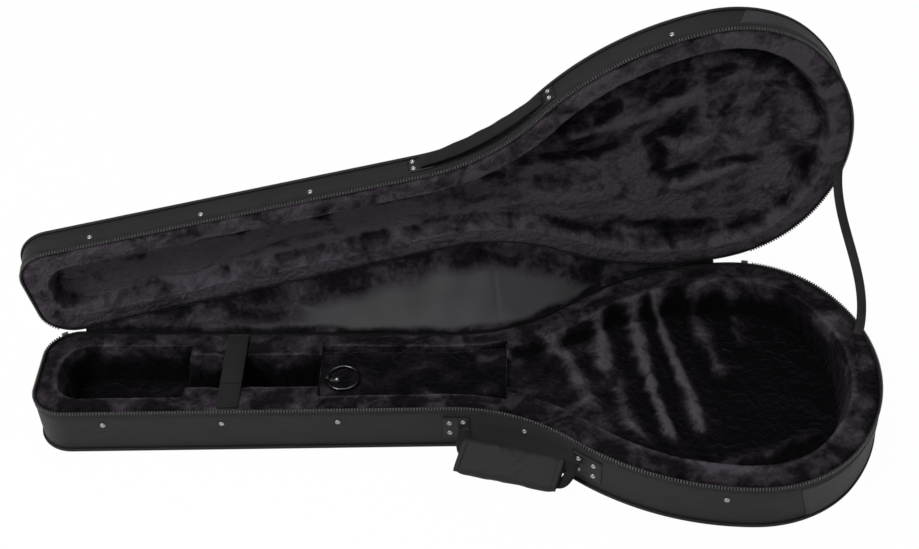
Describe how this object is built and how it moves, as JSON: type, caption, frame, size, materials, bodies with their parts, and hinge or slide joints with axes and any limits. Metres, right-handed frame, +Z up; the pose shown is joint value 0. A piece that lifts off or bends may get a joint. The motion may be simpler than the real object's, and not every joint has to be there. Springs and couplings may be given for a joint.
{
  "type": "instrument case",
  "caption": "Light foam case for a long-necked lute: nylon outside, plush pockets for head, neck and round body, zipped lid standing open.",
  "frame": {"origin": "middle of the outline on the flat bottom of the base", "axes": "+X along the case towards the round tail, +Y towards the hinge side, +Z up"},
  "size_m": [1.0691, 0.4428, 0.461],
  "materials": {
    "nylon": "woven nylon, dull",
    "piping": "smooth cloth piping",
    "foam": "rigid foam, matt",
    "plush": "long pile, soft sheen",
    "zipper_teeth": "moulded coil",
    "zipper_tape": "woven tape",
    "hinge_cloth": "plain cloth",
    "webbing": "ribbed webbing",
    "anchor_patch": "artificial leather",
    "grip": "padded artificial leather",
    "rivet": "domed, bright",
    "metal": "plated",
    "board": "fibreboard"
  },
  "bodies": {
    "base": {"base_bottom_cover": "nylon", "base_side_cover": "nylon", "base_bottom_piping": "piping", "base_tail_patch": "nylon", "base_foam_floor": "foam", "base_foam_head": "foam", "base_foam_neck": "foam", "base_foam_body": "foam", "neck_rails": "foam", "compartment_divider": "foam", "neck_heel_block": "foam", "body_ramp": "foam", "base_plush_rim": "plush", "head_well_lining": "plush", "compartment_lining": "plush", "body_cavity_lining": "plush", "base_zipper_teeth": "zipper_teeth", "base_zipper_tape": "zipper_tape", "base_hinge_tape": "hinge_cloth", "base_side_rivets": "rivet", "base_handle_anchors": "anchor_patch", "base_handle_rivets": "rivet", "neck_strap_front": "webbing", "compartment_hinge_strip": "plush", "zipper_slider_head": "metal", "zipper_slider_tail": "metal", "hinge_gusset": "hinge_cloth", "lid_stay_strap": "webbing"},
    "lid": {"lid_top_cover": "nylon", "lid_side_cover": "nylon", "lid_top_piping": "piping", "lid_tail_patch": "nylon", "lid_foam_panel": "foam", "lid_foam_head": "foam", "lid_foam_neck": "foam", "lid_foam_body": "foam", "lid_plush_rim": "plush", "lid_cavity_lining": "plush", "lid_zipper_teeth": "zipper_teeth", "lid_zipper_tape": "zipper_tape", "lid_hinge_tape": "hinge_cloth", "lid_side_rivets": "rivet", "lid_handle_anchors": "anchor_patch", "lid_handle_rivets": "rivet"},
    "carrying_handle": {"base_handle_webbing": "webbing", "base_handle_grip": "grip", "grip_closure_strip": "grip"},
    "lid_handle": {"lid_handle_webbing": "webbing"},
    "neck_strap": {"neck_strap_back": "webbing"},
    "compartment_lid": {"compartment_lid_board": "board", "compartment_lid_plush": "plush", "compartment_pull_tab": "anchor_patch", "compartment_pull_rivet": "rivet"},
    "pull_ring": {"compartment_pull_ring": "metal"},
    "head_zipper_pull": {"zipper_pull_head": "metal"},
    "tail_zipper_pull": {"zipper_pull_tail": "metal"}
  },
  "joints": [
    {"name": "lid_hinge", "type": "hinge", "parent": "base", "child": "lid", "pos_m": [-0.02082, 0.14022, 0.071], "axis": [-0.9892, -0.1469, 0], "range_deg": [-86, 0], "deforming": ["hinge_gusset", "lid_stay_strap"]},
    {"name": "carrying_handle_swing", "type": "hinge", "parent": "base", "child": "carrying_handle", "pos_m": [0.07964, -0.09748, 0.036], "axis": [-0.9253, 0.3791, 0], "range_deg": [0, 90]},
    {"name": "lid_handle_swing", "type": "hinge", "parent": "lid", "child": "lid_handle", "pos_m": [0.03595, 0.1458, 0.32048], "axis": [0.8714, 0.0954, 0.4812], "range_deg": [0, 100]},
    {"name": "neck_strap_lift", "type": "hinge", "parent": "base", "child": "neck_strap", "pos_m": [-0.278, 0.062, 0.07], "axis": [-1, 0, 0], "range_deg": [0, 75]},
    {"name": "compartment_lid_hinge", "type": "hinge", "parent": "base", "child": "compartment_lid", "pos_m": [0.063, 0, 0.0646], "axis": [0, 1, 0], "range_deg": [0, 85]},
    {"name": "pull_ring_swing", "type": "hinge", "parent": "compartment_lid", "child": "pull_ring", "pos_m": [-0.1585, -0.012, 0.0679], "axis": [0, -1, 0], "range_deg": [0, 100]},
    {"name": "head_pull_swing", "type": "hinge", "parent": "base", "child": "head_zipper_pull", "pos_m": [-0.50551, 0.06903, 0.0677], "axis": [0.848, 0.5299, 0], "range_deg": [0, 120]},
    {"name": "tail_pull_swing", "type": "hinge", "parent": "base", "child": "tail_zipper_pull", "pos_m": [0.3797, 0.19547, 0.0677], "axis": [0.989, -0.1478, 0], "range_deg": [0, 120]}
  ]
}
